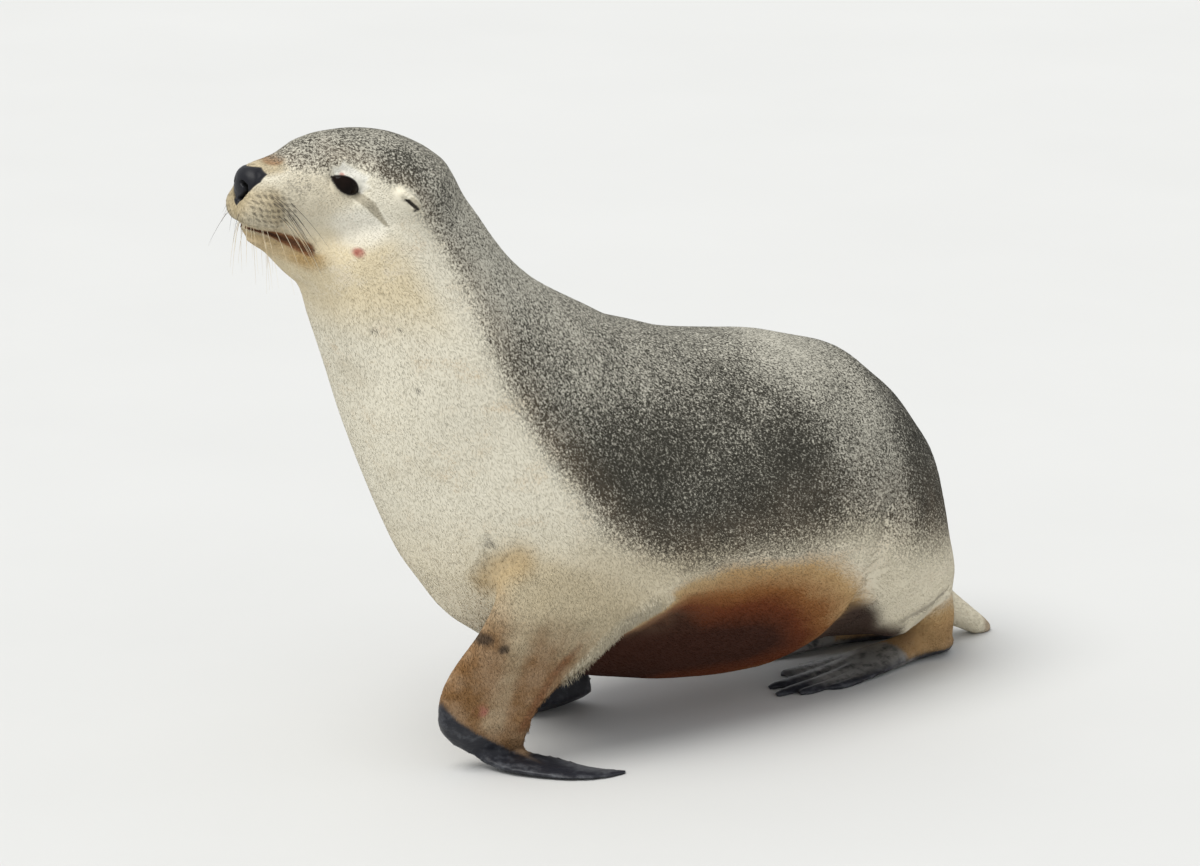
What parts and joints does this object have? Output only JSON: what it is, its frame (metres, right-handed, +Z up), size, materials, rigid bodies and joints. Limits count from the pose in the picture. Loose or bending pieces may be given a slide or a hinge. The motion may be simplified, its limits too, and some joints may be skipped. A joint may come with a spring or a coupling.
{
  "type": "sea lion",
  "caption": "Life-size still model of a walking sea lion with raised neck and head, resting flat on its fore flippers and hind feet.",
  "frame": {"origin": "on the ground, under the middle of the animal's bounding box", "axes": "+Z up; the animal faces -Y; +X is its left side"},
  "size_m": [0.433, 1.1708, 0.8091],
  "materials": {
    "pale_fur": "short dense fur, cream to pale yellow",
    "grey_fur": "short coarse fur, grizzled in light and dark grey",
    "tan_fur": "short fur, tan with darker wet patches",
    "rust_fur": "short fur, orange-rust shading to dark brown below",
    "leather": "bare skin of the flippers, blue-black, wrinkled, dull with a damp sheen",
    "wet_nose": "bare black nose pad, finely grained and damp",
    "eyeball": "black-brown wet eye, polished",
    "whisker": "stiff tapering hairs, pale and dark"
  },
  "bodies": {
    "root": {"ankle_left": "tan_fur", "ankle_right": "tan_fur", "arm_left": "tan_fur", "arm_right": "tan_fur", "belly": "rust_fur", "chest": "pale_fur", "ear_left": "grey_fur", "ear_right": "grey_fur", "eye_left": "eyeball", "eye_right": "eyeball", "flipper_left": "leather", "flipper_right": "leather", "foot_left": "leather", "foot_right": "leather", "head": "grey_fur", "lower_jaw": "tan_fur", "muzzle": "tan_fur", "neck": "pale_fur", "nose": "wet_nose", "rump": "grey_fur", "tail": "pale_fur"}
  },
  "joints": []
}
